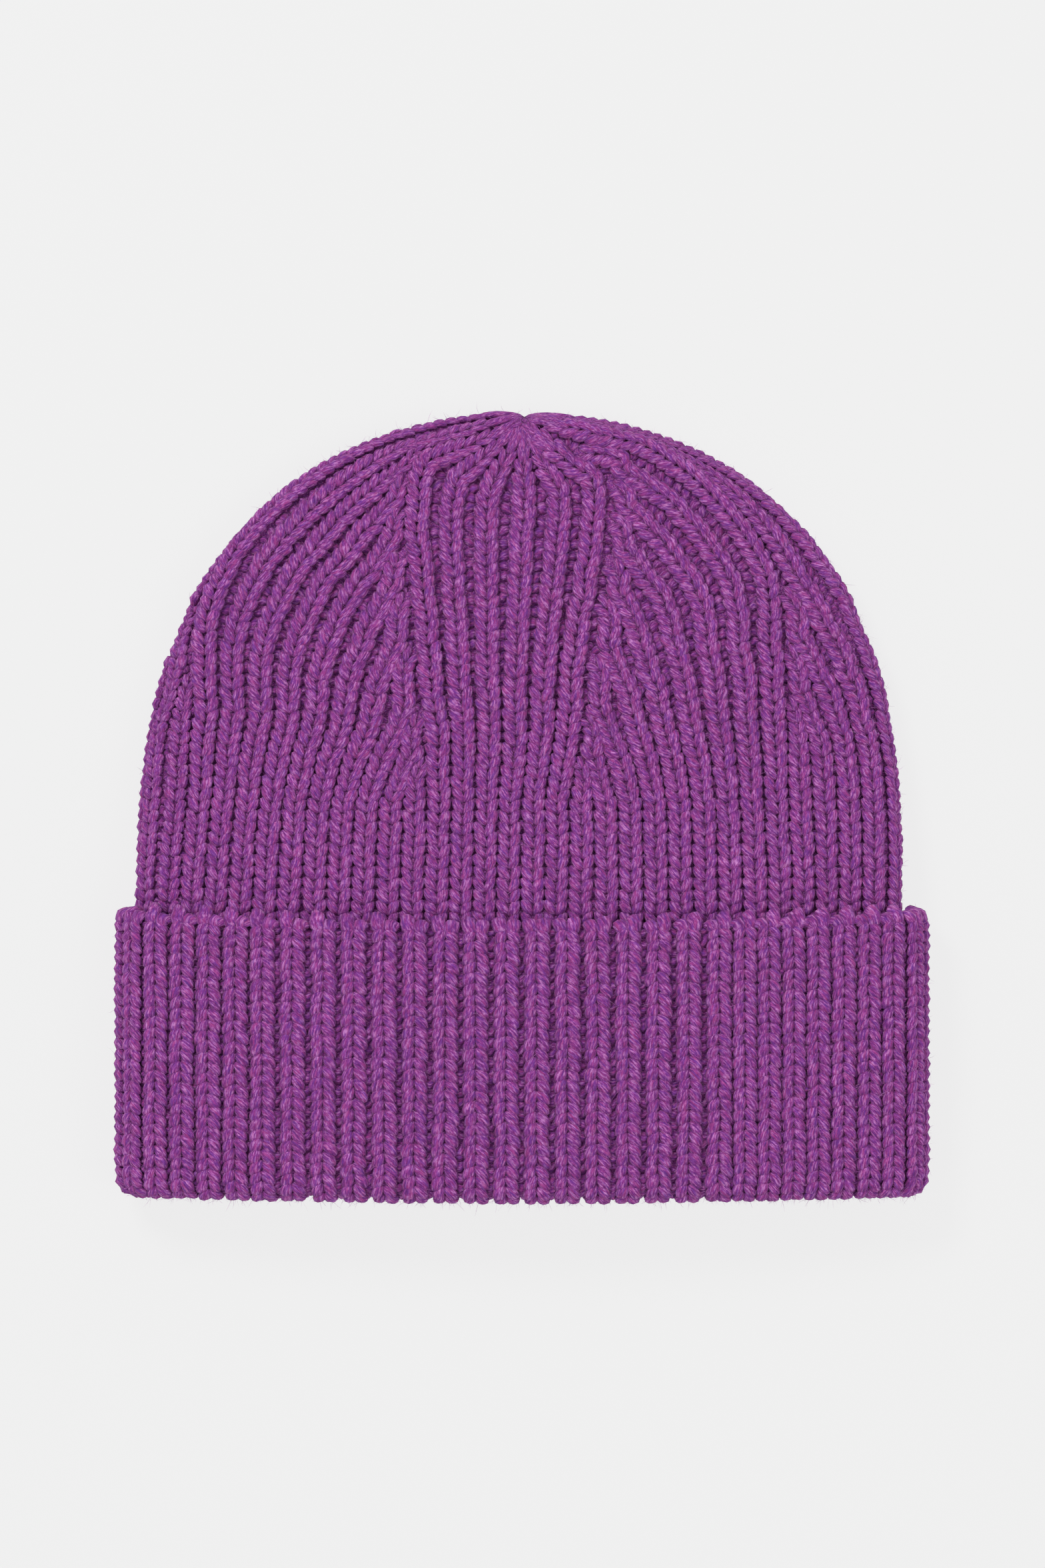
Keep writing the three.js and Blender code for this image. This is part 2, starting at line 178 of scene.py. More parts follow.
def row_end(at, is_cuff):
    """The right end of a row, from the middle of the cuff's free edge, and the way out of the sheet."""
    if at <= 0:
        down = np.clip(at * MIDDLE_PATH / (FOLD_Y - EDGE_Y), 0, 1)
        drawn = 1 if is_cuff else np.clip(-at / DRAW_IN_SHARE, 0, 1)
        x = CROWN_HALF + (TUBE_HALF - CROWN_HALF) * drawn
        return x, at * MIDDLE_PATH + MOUTH_BOW * down, (1.0, 0.0)
    climb = np.clip((at - LEVEL_SHARE) / (1 - LEVEL_SHARE), 0, 1) ** CLIMB_POWER
    length = at * MIDDLE_PATH + (SIDE_PATH - MIDDLE_PATH) * climb
    low = min(np.searchsorted(outline_length, length, "right") - 1, len(outline) - 2)
    x = np.interp(length, outline_length, outline[:, 0])
    y = np.interp(length, outline_length, outline[:, 1])
    along = unit(outline[low + 1] - outline[low])
    return x, y, (along[1], -along[0])


def make_row(at, reference=0.0, is_cuff=False, end_rise=0.0, end_inset=0.0):
    """One row of the tube at the sheet's middle: for the front and the back, the points, the directions
    out of the sheet, and the lengths along the row where it is offset outwards by reference."""
    end_x, end_y, outwards = row_end(at, is_cuff)
    end_x -= end_inset
    middle_y = at * MIDDLE_PATH
    fold = SIDE_FOLD * look_up(SECTIONS, "at", "fold", at, eased)
    swell = MOUTH_SWELL * look_up(SECTIONS, "at", "swell", at, eased)
    lift = CUFF_STEP * look_up(SECTIONS, "at", "lift", at, eased)
    fold_z = WALL / 2 + lift + fold
    fold_depth = min(fold * FOLD_ASPECT, DEEPEST_FOLD * end_x)
    leaves = 0 if is_cuff else np.clip(1 + at / DRAW_IN_SHARE, 0, 1)
    centre_x = leaves * (CROWN_SHIFT + CROWN_LEAN * max(at, 0))

    across = -np.cos(np.linspace(0, math.pi, ROW_POINTS))
    plan_x = centre_x + end_x * across
    plan_y = EDGE_Y + middle_y + (end_y - middle_y + end_rise) * across**2
    walked = running_length(np.stack([plan_x, plan_y], 1))
    inward = np.minimum(walked, walked[-1] - walked)
    cosine = 1 - np.minimum(inward / fold_depth, 1)
    sine = np.sqrt(1 - cosine**2)
    sides = []
    for face in (1, -1):
        swelled = swell * (1 - np.abs(across) ** 3) if face > 0 else 0
        points = np.stack([plan_x, plan_y, fold_z + face * fold * sine + swelled], 1)
        normals = np.stack(
            [np.sign(across) * outwards[0] * cosine, outwards[1] * cosine, face * sine], 1
        )
        if face < 0:
            points = points[::-1]
            normals = normals[::-1]
        normals = unit(normals)
        sides.append((points, normals, running_length(points + reference * normals)))
    return {"across": across, "front": sides[0], "back": sides[1]}


def point_on_row(row, turn, offset):
    """Points of the sheet. turn counts the way round: 0 to 1 over the front, 1 to 2 over the back."""
    turn = np.asarray(turn, float) % 2
    out = np.empty(turn.shape + (3,))
    for side, low in (("front", 0), ("back", 1)):
        points, normals, lengths = row[side]
        here = (turn >= low) & (turn < low + 1)
        place = (turn[here] - low) * lengths[-1]
        at = np.stack([np.interp(place, lengths, points[:, k]) for k in range(3)], -1)
        normal = unit(np.stack([np.interp(place, lengths, normals[:, k]) for k in range(3)], -1))
        out[here] = at + normal * offset
    return out


def turn_of_across(row, across, is_back):
    lengths = row["back" if is_back else "front"][2]
    return is_back + np.interp(across, row["across"], lengths) / lengths[-1]


class Sheet:
    """A grid of points and normals over a stretch of the knit. Its first coordinate runs along the ribs
    and its second, turn, the way round."""

    def __init__(self, stations, low_points, high_points):
        self.stations = np.array(stations)
        self.normals = unit(high_points - low_points)
        self.points = (low_points + high_points) / 2
        self.columns = low_points.shape[1]

    def look(self, station, turn):
        row = np.interp(station, self.stations, np.arange(len(self.stations)))
        i = np.minimum(row.astype(int), len(self.stations) - 2)
        fi = (row - i)[..., None]
        column = (turn % 2) / 2 * self.columns
        j = column.astype(int) % self.columns
        k = (j + 1) % self.columns
        fj = (column - np.floor(column))[..., None]
        found = []
        for grid in (self.points, self.normals):
            near = grid[i, j] * (1 - fj) + grid[i, k] * fj
            far = grid[i + 1, j] * (1 - fj) + grid[i + 1, k] * fj
            found.append(near * (1 - fi) + far * fi)
        return found[0], unit(found[1])

    def point(self, station, turn, height):
        points, normals = self.look(station, turn)
        return points + normals * np.asarray(height)[..., None]


GRID_COLUMNS = 1280
grid_turns = np.arange(GRID_COLUMNS) * 2 / GRID_COLUMNS


def crown_sheet():
    stations = np.linspace(-0.1, 1.0, 260)
    rows = [make_row(at) for at in stations]
    low = np.array([point_on_row(row, grid_turns, -0.5) for row in rows])
    high = np.array([point_on_row(row, grid_turns, 0.5) for row in rows])
    return Sheet(stations, low, high)


STRAIGHT = EDGE_Y - FOLD_Y  # length of the cuff's outside, from its free edge to the turn at the mouth
TURN_LENGTH = math.pi * FOLD_RADIUS
CORNERS = [  # where a round corner of the cuff is over, how long it is, and how far it comes in
    {"over": 5.0, "length": -7.0, "inset": 2.2},
    {"over": STRAIGHT - 4.0, "length": 4.0 + TURN_LENGTH / 2, "inset": 1.4},
]


def corner_inset(path):
    insets = 0
    for corner in CORNERS:
        share = min(max((path - corner["over"]) / corner["length"], 0), 1)
        insets += corner["inset"] * (1 - math.sqrt(1 - share**2))
    return insets


def cuff_point(path, turn, height):
    """A row of points of the cuff's knit. path runs from the free edge down the outside, round the fold
    at the mouth and up inside the tube."""
    bend = math.pi * np.clip((path - STRAIGHT) / TURN_LENGTH, 0, 1)
    y = EDGE_Y - min(path, STRAIGHT) + max(path - STRAIGHT - TURN_LENGTH, 0)
    radius = FOLD_RADIUS + height
    at = (y - radius * math.sin(bend) - EDGE_Y) / MIDDLE_PATH
    rise = EDGE_RISE * (1 - min(path / STRAIGHT, 1)) ** 2
    inside = path > STRAIGHT + TURN_LENGTH
    is_cuff = not inside or at < -2 * DRAW_IN_SHARE
    inset = 0 if inside else corner_inset(path)
    row = make_row(at, reference=CUFF_STEP, is_cuff=is_cuff, end_rise=rise, end_inset=inset)
    return point_on_row(row, turn, FOLD_RADIUS + radius * math.cos(bend))


def cuff_sheet():
    stations = np.concatenate([
        np.linspace(-2, STRAIGHT, 70, endpoint=False),
        np.linspace(STRAIGHT, STRAIGHT + TURN_LENGTH, 24, endpoint=False),
        np.linspace(STRAIGHT + TURN_LENGTH, STRAIGHT + TURN_LENGTH + INNER_REACH, 60),
    ])
    low = np.array([cuff_point(path, grid_turns, -0.5) for path in stations])
    high = np.array([cuff_point(path, grid_turns, 0.5) for path in stations])
    return Sheet(stations, low, high)


def settle(crown, cuff):
    """Moves both sheets to where the CAD model has them."""
    surface = cuff.points + cuff.normals * WALL / 2
    surface = surface[cuff.stations <= STRAIGHT + TURN_LENGTH].reshape(-1, 3)
    low, high = (np.array(corner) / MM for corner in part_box("cuff"))
    middle = (low + high - surface.min(0) - surface.max(0)) / 2
    move = np.array([middle[0], low[1] - surface[:, 1].min(), low[2] - surface[:, 2].min()])
    for sheet in (crown, cuff):
        sheet.points += move


# Where the ribs run

def merged_by(decreases, at):
    return sum(np.clip((at - start) / MERGE_LENGTH + 0.5, 0, 1) for start in decreases)


def close_up(distance):
    return 1 - (1 - max(distance, 0)) ** 3 if distance < 1 else distance


def ribs_of_field(field, count, at):
    by_from = merged_by(field["by_from"], at)
    by_to = merged_by(field["by_to"], at)
    gaps = count + 1 - by_from - by_to
    first = 1 + math.floor(by_from + 1e-6)
    last = count - math.floor(by_to + 1e-6)
    found = []
    for j in range(first, last + 1):
        left = close_up(j - by_from)
        right = close_up(count + 1 - by_to - j)
        found.append((j, left / gaps if left < 1 else 1 - right / gaps))
    return found


def ribs_at(at):
    """Every rib that is still there at a row of the crown: its number, and its place round the row."""
    row = make_row(at)

    def place(name, is_back):
        across = look_up(SPINES, "at", name, np.clip(at, 0, 1))
        return turn_of_across(row, across, is_back)

    found = []
    for is_back in (0, 1):
        for field in FIELDS:
            wraps = field["from"] == "d"
            start = place(field["from"], is_back)
            end = place("a", 1 - is_back) + 2 * is_back if wraps else place(field["to"], is_back)
            first = SPINE_RIBS[field["from"]] + HALF_TURN * is_back
            count = SPINE_RIBS[field["to"]] + HALF_TURN * wraps - SPINE_RIBS[field["from"]] - 1
            found.append((first, start))
            found += [
                (first + j, start + (end - start) * share)
                for j, share in ribs_of_field(field, count, at)
            ]
    return found


class Rib:
    """The middle line of a rib or of a valley, with the space that it has and how deep it has sunk."""

    def __init__(self, sheet, stations, turns, spaces, sinks):
        self.stations = np.array(stations)
        self.turns = np.array(turns)
        self.spaces = np.array(spaces)
        self.sinks = np.array(sinks)
        points, normals = sheet.look(self.stations, self.turns)
        line = points + LEG_LEVEL * normals
        self.lengths = running_length(line)
        tangents = unit(np.gradient(line, self.lengths, axis=0))
        sideways = unit(np.cross(tangents, normals))
        step_s = (sheet.stations[-1] - sheet.stations[0]) * 1e-3
        step_t = 1e-3
        low_s = np.maximum(self.stations - step_s, sheet.stations[0])
        high_s = np.minimum(self.stations + step_s, sheet.stations[-1])
        height = np.full(len(self.stations), LEG_LEVEL)
        by_s = sheet.point(high_s, self.turns, height) - sheet.point(low_s, self.turns, height)
        by_s /= (high_s - low_s)[:, None]
        by_t = sheet.point(self.stations, self.turns + step_t, height)
        by_t = (by_t - sheet.point(self.stations, self.turns - step_t, height)) / (2 * step_t)
        ss = (by_s * by_s).sum(1)
        st = (by_s * by_t).sum(1)
        tt = (by_t * by_t).sum(1)
        us = (sideways * by_s).sum(1)
        ut = (sideways * by_t).sum(1)
        spread = np.maximum(ss * tt - st * st, 1e-9)
        self.side_s = (us * tt - ut * st) / spread
        self.side_t = (ut * ss - us * st) / spread

    def place(self, sheet, along, across, height):
        station = np.interp(along, self.lengths, self.stations)
        turn = np.interp(along, self.lengths, self.turns)
        station += across * np.interp(along, self.lengths, self.side_s)
        turn += across * np.interp(along, self.lengths, self.side_t)
        return sheet.point(station, turn, height - np.interp(along, self.lengths, self.sinks))

    def space(self, along):
        return np.interp(along, self.lengths, self.spaces)


def crown_lines(sheet):
    """The ribs of the crown, and the valleys between them. A rib that is knitted into a spine stops
    beside it, and a spine keeps its width."""
    stations = np.linspace(CROWN_START, CROWN_LAST, 180)
    tracks = {}
    valleys = {}
    for at in stations:
        ribs = ribs_at(at)
        row = make_row(at)
        lengths = [row["front"][2][-1], row["back"][2][-1]]
        places = np.array([place for _, place in ribs])
        following = np.append(places[1:], places[0] + 2)
        before = np.append(places[-1] - 2, places[:-1])
        for i, (number, place) in enumerate(ribs):
            length = lengths[int(place % 2)]
            gap = (following[i] - place) * length
            gaps = sorted([gap, (place - before[i]) * length])
            if number % HALF_TURN in SPINE_RIBS.values():
                closeness = 0
                space = gaps[1]
                sink = -SPINE_RISE * (at > DECREASES[0] - MERGE_LENGTH)
            else:
                closeness = 1 - gaps[0] / gaps[1]
                space = sum(gaps) / 2
                sink = MERGE_SINK * closeness
            if closeness < MERGED:
                tracks.setdefault(number, []).append((at, place, space, sink))
            middle = (place + following[i]) / 2
            valleys.setdefault(number, []).append((at, middle, gap, 0))
    return [
        {n: Rib(sheet, *zip(*track)) for n, track in table.items() if len(track) > SHORTEST_TRACK}
        for table in (tracks, valleys)
    ]


def cuff_rib_turns():
    """The cuff's front ribs follow their table, and the rest share the back evenly."""
    row = make_row(0, reference=CUFF_STEP, is_cuff=True)
    fine = np.linspace(0, 0.9999, 4001)
    fine_x = point_on_row(row, fine, CUFF_STEP + WALL / 2)[:, 0]
    share = np.arange(CUFF_FRONT_RIBS) / (CUFF_FRONT_RIBS - 1)
    x = CUFF_WIDTH / 2 * look_up(CUFF_RIBS, "rib", "across", share)
    front = np.interp(x, fine_x, fine)
    back_count = RIB_COUNT - CUFF_FRONT_RIBS
    step = (front[0] + 2 - front[-1]) / (back_count + 1)
    return np.concatenate([front, front[-1] + step * np.arange(1, back_count + 1)])


def cuff_lines(sheet):
    turns = cuff_rib_turns()
    following = np.append(turns[1:], turns[0] + 2)
    before = np.append(turns[-1] - 2, turns[:-1])
    half_round = make_row(0, reference=CUFF_STEP, is_cuff=True)["front"][2][-1]
    stations = np.linspace(sheet.stations[0], sheet.stations[-1], 300)
    same = np.ones(len(stations))

    def rib(turn, space):
        return Rib(sheet, stations, same * turn, same * space * half_round, same * 0)

    ribs = {i: rib(turn, (following[i] - before[i]) / 2) for i, turn in enumerate(turns)}
    middles = (turns + following) / 2
    valleys = {i: rib(turn, following[i] - turns[i]) for i, turn in enumerate(middles)}
    return ribs, valleys


# Yarn

END_SHADE = 0.32  # painted shade: how much darker a strand is at its ends, where others lie over it
TONE_SPREAD = 0.25  # how much the tones of the strands differ
CELL_MARGIN = 0.06  # round a strand's picture in its cell of the bake map
TWIST = 0.22  # turn of the yarn's fibres, in radians for each millimetre
GRAIN_RADIUS = 1.25  # of a leg's fibres
GRAIN_RANGE = 900  # each strand starts somewhere else in the material's pattern, up to this far along
PROBE = 0.5  # distance at which a direction beside a point of the knit is measured
rng = np.random.default_rng(64)


class Yarn:
    """Gathers strands of yarn and makes one mesh of them. Each strand is a closed tube through rings of
    points, which ends in a point at both ends."""

    def __init__(self, rings, sides):
        self.rings = rings
        self.sides = sides
        self.angles = np.arange(sides) * 2 * math.pi / sides
        self.strands = []
        self.grain = []
        self.tones = []

    def add(self, points, grain, tones):
        """points: strands, rings, sides, 3. The first and last ring of a strand are its end points."""
        self.strands.append(points)
        self.grain.append(grain)
        self.tones.append(tones)

    def mesh(self, name):
        points = np.concatenate(self.strands)
        grain = np.concatenate(self.grain)
        tones = np.concatenate(self.tones)
        count = len(points)
        rings, sides = self.rings, self.sides
        inner = slice(1, rings - 1)
        per_strand = (rings - 2) * sides + 2

        def flat(values):
            width = values.shape[-1]
            middle = values[:, inner].reshape(count, -1, width)
            ends = [values[:, :1].mean(2), middle, values[:, -1:].mean(2)]
            return np.concatenate(ends, 1).reshape(-1, width)

        faces = strand_faces(rings, sides)
        starts = np.arange(count)[:, None] * per_strand
        tris = (faces["tris"].ravel()[None] + starts).reshape(-1, 3)
        quads = (faces["quads"].ravel()[None] + starts).reshape(-1, 4)
        made = mesh_of(name, flat(points), tris, quads)
        store(made.data, "grain", "FLOAT_VECTOR", flat(grain))
        # each strand's random tone, darkened towards both ends by painted shade where other strands lie
        # over it
        to_end = np.abs(np.linspace(-1, 1, rings))[rings_of_points(rings, sides)]
        tone = 1 - TONE_SPREAD * (1 - tones)
        store(made.data, "tone", "FLOAT", tone[:, None] * (1 - END_SHADE * to_end**3))
        add_bake_map(made.data, count, per_strand, rings, sides)
        return made


def rings_of_points(rings, sides):
    """The ring that each point of a strand is in."""
    return np.concatenate([[0], np.repeat(np.arange(1, rings - 1), sides), [rings - 1]])


def strand_faces(rings, sides):
    tris = []
    quads = []
    last = (rings - 2) * sides + 1
    for side in range(sides):
        after = (side + 1) % sides
        tris.append((0, 1 + side, 1 + after))
        for ring in range(rings - 3):
            low = 1 + ring * sides
            quads.append((low + side, low + sides + side, low + sides + after, low + after))
        low = 1 + (rings - 3) * sides
        tris.append((last, low + after, low + side))
    return {"tris": np.array(tris), "quads": np.array(quads).reshape(-1, 4)}


PRESSED = 0.4  # the knit is squeezed below this height, so that it lies flat on the floor


def pressed(points):
    """The points, with what would reach into the floor pressed flat on it."""
    z = points[:, 2]
    on_floor = PRESSED * np.exp((z - PRESSED) / PRESSED)
    return np.stack([points[:, 0], points[:, 1], np.where(z < PRESSED, on_floor, z)], 1)


def add_object(name, data):
    made = bpy.data.objects.new(name, data)
    bpy.context.scene.collection.objects.link(made)
    return made


def mesh_of(name, points, tris, quads):
    points = pressed(points)
    data = bpy.data.meshes.new(name)
    corners = np.concatenate([tris.ravel(), quads.ravel()]).astype(np.int32)
    counts = np.concatenate([np.full(len(tris), 3), np.full(len(quads), 4)])
    data.vertices.add(len(points))
    data.vertices.foreach_set("co", (points * MM).astype(np.float32).ravel())
    data.loops.add(len(corners))
    data.loops.foreach_set("vertex_index", corners)
    data.polygons.add(len(counts))
    starts = np.concatenate([[0], np.cumsum(counts)[:-1]])
    data.polygons.foreach_set("loop_start", starts.astype(np.int32))
    data.polygons.foreach_set("use_smooth", np.ones(len(counts), bool))
    data.update(calc_edges=True)
    data.validate()
    return add_object(name, data)


def store(data, name, kind, values):
    made = data.attributes.new(name, kind, "POINT")
    field = "vector" if kind == "FLOAT_VECTOR" else "value"
    made.data.foreach_set(field, values.astype(np.float32).ravel())


def add_bake_map(data, count, per_strand, rings, sides):
    """Gives every strand its own cell of the UV map named OFBake."""
    cells = math.ceil(math.sqrt(count))
    ring = rings_of_points(rings, sides)
    side = np.concatenate([[0], np.tile(np.arange(sides), rings - 2), [0]])
    corner = np.empty(len(data.loops), np.int32)
    data.loops.foreach_get("vertex_index", corner)
    strand = corner // per_strand
    local = corner % per_strand
    starts = np.empty(len(data.polygons), np.int32)
    counts = np.empty(len(data.polygons), np.int32)
    data.polygons.foreach_get("loop_start", starts)
    data.polygons.foreach_get("loop_total", counts)
    face = np.repeat(np.arange(len(starts)), counts)
    is_end = (local == 0) | (local == per_strand - 1)
    across = side[local].astype(float)
    highest = np.maximum.reduceat(np.where(is_end, -1, across), starts)
    lowest = np.minimum.reduceat(np.where(is_end, sides, across), starts)
    wraps = (highest - lowest > 1)[face]
    across = np.where(wraps & (across == 0), sides, across)
    middle = np.where(wraps, sides - 0.5, ((highest + lowest) / 2)[face])
    across = np.where(is_end, middle, across)
    filled = 1 - 2 * CELL_MARGIN
    u = (strand % cells + CELL_MARGIN + filled * across / sides) / cells
    v = (strand // cells + CELL_MARGIN + filled * ring[local] / (rings - 1)) / cells
    layer = data.uv_layers.new(name="OFBake")
    layer.data.foreach_set("uv", np.stack([u, v], 1).astype(np.float32).ravel())


def tube(yarn, centres, normals, widths, depths):
    """Rings of points round middle lines. centres: strands, rings, 3. widths and depths are the half
    width, beside the normal, and the half depth, along it."""
    along = unit(np.gradient(centres, axis=1))
    normals = unit(normals - (normals * along).sum(-1, keepdims=True) * along)
    sideways = np.cross(along, normals)
    cos = np.cos(yarn.angles)[None, None, :, None]
    sin = np.sin(yarn.angles)[None, None, :, None]
    return (
        centres[:, :, None]
        + normals[:, :, None] * cos * depths[..., None, None]
        + sideways[:, :, None] * sin * widths[..., None, None]
    )


def grain_of(yarn, centres, radius):
    """Places in the yarn itself, turned with its fibres: two across it and one along it."""
    steps = np.linalg.norm(np.diff(centres, axis=1), axis=-1)
    along = np.concatenate([np.zeros((len(centres), 1)), np.cumsum(steps, 1)], 1)[..., None]
    turned = yarn.angles[None, None] + TWIST * along
    start = rng.uniform(0, GRAIN_RANGE, (len(centres), 1, 1))
    shape = turned.shape
    return np.stack([
        np.cos(turned) * radius,
        np.sin(turned) * radius + np.broadcast_to(start, shape),
        np.broadcast_to(along, shape) + np.broadcast_to(start, shape),
    ], -1)


# The legs of a stitch, in shares of half the rib's width across and of a row's height along. Both start
# in the middle of the rib, in front, and end at its side, under the legs of the next stitch.
LEG_SHARES = np.array([0.0, 0.09, 0.26, 0.48, 0.7, 0.9, 1.0])
LEG_SWELL = np.array([0.0, 0.6, 0.9, 1.0, 0.98, 0.82, 0.0])
LEG_HEIGHT = np.array([0.15, 0.65, 1.1, 1.2, 1.08, 0.6, -0.1])
LEGS = {
    "steep": {"side": 1, "start": (0.1, -0.38), "end": (0.68, 1.04)},
    "slanted": {"side": -1, "start": (0.06, -0.3), "end": (0.78, 0.98)},
}
LEG_WIDTH = 0.47  # half a leg's width, in shares of half the rib's
LEG_DEPTH = 1.15  # half a leg's depth
LEG_BOW = 0.1
LEAST_HEIGHT = 0.55  # share of a stitch's height that doesn't shrink with its rib's width
RIB_SPACE = 1.06  # of its width, which a rib takes up
NARROWEST, WIDEST = 0.5, 1.13  # of RIB_WIDTH
DRAWN_LENGTH, DRAWN_STRETCH = 20.0, 1.1  # the last stitches before the gather are drawn out
SHORTEST = 0.6  # of a row, for the last stitch of a rib
# How much the stitches differ: start is the largest shift either way, and the rest standard deviations
UNEVEN_STITCH = {"start": 0.06, "lean": 0.04, "ends": 0.035, "lift": 0.08, "plump": 0.05}


def leg_shares(rings):
    return np.interp(np.linspace(0, 1, rings), np.linspace(0, 1, len(LEG_SHARES)), LEG_SHARES)


def row_starts(row_height, first, last, gather=None):
    """Where the stitches of a rib start, and how high each one is."""
    starts = []
    heights = []
    at = first
    while at < last - row_height * SHORTEST:
        drawn = eased(1 - (gather - at) / DRAWN_LENGTH) if gather else 0
        height = row_height * (1 + DRAWN_STRETCH * drawn)
        starts.append(at)
        heights.append(height)
        at += height
    return np.array(starts), np.array(heights)


def add_stitches(yarn, sheet, rib, rows):
    """Stitches up a rib, from where each one starts and how high it is."""
    starts, heights = rows
    count = len(starts)
    if count < 1:
        return
    uneven = UNEVEN_STITCH
    base = starts + rng.uniform(-uneven["start"], uneven["start"], count) * heights
    scale = np.clip(rib.space(base + heights / 2) / (RIB_WIDTH * RIB_SPACE), NARROWEST, WIDEST)
    half = RIB_WIDTH / 2 * scale
    shares = leg_shares(yarn.rings)
    swell = np.interp(shares, LEG_SHARES, LEG_SWELL)
    rise = np.interp(shares, LEG_SHARES, LEG_HEIGHT)
    lean = rng.normal(0, uneven["lean"], count)
    for leg in LEGS.values():
        jitter = rng.normal(0, uneven["ends"], (count, 4))
        start_u = leg["side"] * (leg["start"][0] + jitter[:, 0]) + lean
        end_u = leg["side"] * (leg["end"][0] + jitter[:, 1]) + lean
        start_w = leg["start"][1] + jitter[:, 2]
        end_w = leg["end"][1] + jitter[:, 3]
        bow = LEG_BOW * leg["side"] * np.sin(math.pi * shares)
        across = start_u[:, None] + (end_u - start_u)[:, None] * shares + bow
        climb = start_w[:, None] + (end_w - start_w)[:, None] * shares
        along = np.clip(base[:, None] + heights[:, None] * climb, 0, rib.lengths[-1])
        lift = rng.normal(0, uneven["lift"], (count, 1))
        height = rise * (LEAST_HEIGHT + (1 - LEAST_HEIGHT) * scale[:, None]) + lift
        centres = rib.place(sheet, along, across * half[:, None], height)
        above = rib.place(sheet, along, across * half[:, None], height + PROBE)
        plump = scale * (1 + rng.normal(0, uneven["plump"], count))
        widths = LEG_WIDTH * RIB_WIDTH / 2 * plump[:, None] * swell
        depths = LEG_DEPTH * plump[:, None] * swell
        points = tube(yarn, centres, above - centres, widths, depths)
        yarn.add(points, grain_of(yarn, centres, GRAIN_RADIUS), rng.uniform(0, 1, count))


# A purl bump: its reach to each side and how plump it is grow with the room between the ribs, and its
# level follows that room
BUMP = {"reach": 1.2, "least_reach": 0.8, "most_reach": 2.4, "width": 1.15, "depth": 0.85, "arch": 0.8}
BUMP_ROOM, BUMP_LEVEL = [0.4, 1.6], [-0.95, -1.3]
BUMP_GROWTH, PLUMPEST = 0.1, 1.3
BUMP_BEND = 0.9  # how far its middle is bent up the valley
BUMP_SHADED_TONE = 0.4  # the lightest one's tone, kept below the ribs' as painted shade in the valleys
BUMP_GRAIN_RADIUS = 0.9
UNEVEN_BUMP = {"start": 0.16, "across": 0.14, "tilt": 0.35, "bend": 0.35, "height": 0.12, "plump": 0.12}


def add_bumps(yarn, sheet, valley, row_height, first, last):
    """The purl bumps that show in a valley: a short curl across it in each row."""
    count = int((last - first) / row_height)
    if count < 1:
        return
    uneven = UNEVEN_BUMP
    shift = rng.uniform(-uneven["start"], uneven["start"], count)
    base = first + (np.arange(count) + 0.5 + shift) * row_height
    room = valley.space(base) - RIB_WIDTH
    reach = np.clip(room / 2 + BUMP["reach"], BUMP["least_reach"], BUMP["most_reach"])
    level = np.interp(room, BUMP_ROOM, BUMP_LEVEL)
    plump = np.clip(1 + BUMP_GROWTH * room, 1, PLUMPEST)[:, None]
    shares = np.linspace(0, 1, yarn.rings)
    across = (shares - 0.5) * 2 * reach[:, None] + rng.normal(0, uneven["across"], (count, 1))
    bend = np.sin(math.pi * shares)
    tilt = rng.normal(0, uneven["tilt"], (count, 1))
    along = base[:, None] + rng.normal(BUMP_BEND, uneven["bend"], (count, 1)) * bend + tilt * across
    height = level[:, None] + BUMP["arch"] * bend + rng.normal(0, uneven["height"], (count, 1))
    along = np.clip(along, 0, valley.lengths[-1])
    centres = valley.place(sheet, along, across, height)
    above = valley.place(sheet, along, across, height + PROBE)
    swell = plump * np.sqrt(np.clip(bend, 0, 1)) * (1 + rng.normal(0, uneven["plump"], (count, 1)))
    points = tube(yarn, centres, above - centres, BUMP["width"] * swell, BUMP["depth"] * swell)
    # the bumps' tones stay darker than the ribs': painted shade in the valleys
    yarn.add(points, grain_of(yarn, centres, BUMP_GRAIN_RADIUS), rng.uniform(0, BUMP_SHADED_TONE, count))


# The path of a loop of the free edge, from behind the edge over it and down the front
EDGE_LOOP = {
    "share": [0.0, 0.12, 0.26, 0.4, 0.54, 0.76, 1.0],
    "along": [1.9, 0.5, -0.35, -0.4, 0.4, 2.2, 4.1],
    "height": [-1.5, -1.3, -0.5, 0.5, 1.05, 1.15, 0.2],
    "across": [2.0, 2.05, 2.05, 2.0, 1.85, 1.4, 0.9],
    "swell": [0.0, 0.85, 0.98, 1.0, 1.0, 0.92, 0.0],
}
EDGE_WIDTH, EDGE_DEPTH = 2.05, 1.2  # half a loop's
UNEVEN_EDGE = {"place": 0.12, "plump": 0.05}


def add_edge(yarn, sheet, ribs):
    """The cast-on edge: the two legs of each rib fan out and curl over the edge."""
    shares = np.linspace(0, 1, yarn.rings)
    path = {key: np.interp(shares, EDGE_LOOP["share"], values) for key, values in EDGE_LOOP.items()}
    for rib in ribs.values():
        edge = np.interp(0, rib.stations, rib.lengths)
        for side in (-1, 1):
            wobble = rng.normal(0, UNEVEN_EDGE["place"], 3)
            across = side * (path["across"] + wobble[0] * (1 - shares))
            along = edge + path["along"] + wobble[1]
            height = path["height"] + wobble[2]
            centres = rib.place(sheet, along, across, height)[None]
            ahead = rib.place(sheet, along, across + side * PROBE, height)[None]
            normals = np.cross(np.gradient(centres, axis=1), ahead - centres) * side
            plump = 1 + rng.normal(0, UNEVEN_EDGE["plump"])
            widths = (EDGE_WIDTH * plump * path["swell"])[None]
            points = tube(yarn, centres, normals, widths, EDGE_DEPTH * path["swell"][None])
            yarn.add(points, grain_of(yarn, centres, GRAIN_RADIUS), rng.uniform(0, 1, 1))


